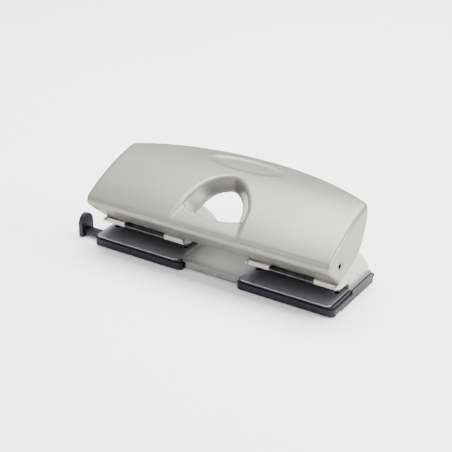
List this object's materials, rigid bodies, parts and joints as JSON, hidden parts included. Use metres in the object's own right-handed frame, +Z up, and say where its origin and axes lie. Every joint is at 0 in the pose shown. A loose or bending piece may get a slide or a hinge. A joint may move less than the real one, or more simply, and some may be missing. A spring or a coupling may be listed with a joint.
{
  "type": "hole punch",
  "caption": "Long desk hole punch with paired punch heads on a base rail, one wide lever with a hand opening, chip trays and a sliding paper guide.",
  "frame": {"origin": "middle of the base footprint on the surface it stands on", "axes": "+X along the punch, -Y towards the side the paper goes in from, +Z up"},
  "size_m": [0.283, 0.1041, 0.087],
  "materials": {
    "lever_paint": "satin",
    "frame_paint": "satin",
    "plated_steel": "satin",
    "ground_steel": "polished",
    "dark_steel": "satin",
    "spring_steel": "satin",
    "tray_plastic": "matt, fine grain",
    "guide_plastic": "satin",
    "foot_rubber": "matt"
  },
  "bodies": {
    "base": {"base_rail": "frame_paint", "left_die_plate": "plated_steel", "right_die_plate": "plated_steel", "left_head_frame": "frame_paint", "right_head_frame": "frame_paint", "left_guide_plate": "dark_steel", "right_guide_plate": "dark_steel", "left_frame_rivets": "plated_steel", "right_frame_rivets": "plated_steel", "left_axle": "ground_steel", "right_axle": "ground_steel", "left_axle_clips": "spring_steel", "right_axle_clips": "spring_steel", "pin_spring_1": "spring_steel", "pin_spring_2": "spring_steel", "pin_spring_3": "spring_steel", "pin_spring_4": "spring_steel", "spring_seats": "plated_steel", "left_tray_pin": "ground_steel", "right_tray_pin": "ground_steel", "left_guide_track": "tray_plastic", "right_guide_track": "tray_plastic", "guide_leaf_spring": "spring_steel"},
    "lever": {"lever_shell": "lever_paint", "left_press_yoke": "dark_steel", "right_press_yoke": "dark_steel"},
    "paper_guide": {"guide_bar": "guide_plastic", "guide_head": "guide_plastic", "guide_screw": "dark_steel"},
    "left_tray": {"left_chip_tray": "tray_plastic", "left_tray_feet": "foot_rubber"},
    "right_tray": {"right_chip_tray": "tray_plastic", "right_tray_feet": "foot_rubber"},
    "pin_1": {"punch_pin_1": "ground_steel"},
    "pin_2": {"punch_pin_2": "ground_steel"},
    "pin_3": {"punch_pin_3": "ground_steel"},
    "pin_4": {"punch_pin_4": "ground_steel"}
  },
  "joints": [
    {"name": "lever_press", "type": "hinge", "parent": "base", "child": "lever", "pos_m": [0, -0.0285, 0.0465], "axis": [-1, 0, 0], "range_deg": [0, 33], "stiffness_Nm_per_rad": 0.9, "springref_deg": -68.75},
    {"name": "pin_1_slide", "type": "slide", "parent": "base", "child": "pin_1", "axis": [0, 0, -1], "range_m": [0, 0.0075], "deforming": ["pin_spring_1"]},
    {"name": "pin_2_slide", "type": "slide", "parent": "base", "child": "pin_2", "axis": [0, 0, -1], "range_m": [0, 0.0075], "deforming": ["pin_spring_2"]},
    {"name": "pin_3_slide", "type": "slide", "parent": "base", "child": "pin_3", "axis": [0, 0, -1], "range_m": [0, 0.0075], "deforming": ["pin_spring_3"]},
    {"name": "pin_4_slide", "type": "slide", "parent": "base", "child": "pin_4", "axis": [0, 0, -1], "range_m": [0, 0.0075], "deforming": ["pin_spring_4"]},
    {"name": "guide_slide", "type": "slide", "parent": "base", "child": "paper_guide", "axis": [-1, 0, 0], "range_m": [-0.017, 0.0615]},
    {"name": "left_tray_open", "type": "hinge", "parent": "base", "child": "left_tray", "pos_m": [-0.08, 0.038, 0.007], "axis": [1, 0, 0], "range_deg": [0, 75]},
    {"name": "right_tray_open", "type": "hinge", "parent": "base", "child": "right_tray", "pos_m": [0.08, 0.038, 0.007], "axis": [1, 0, 0], "range_deg": [0, 75]}
  ],
  "couplings": [
    {"joint": "pin_1_slide", "follows": "lever_press", "m_per_rad": 0.012814},
    {"joint": "pin_2_slide", "follows": "lever_press", "m_per_rad": 0.012814},
    {"joint": "pin_3_slide", "follows": "lever_press", "m_per_rad": 0.012814},
    {"joint": "pin_4_slide", "follows": "lever_press", "m_per_rad": 0.012814}
  ]
}
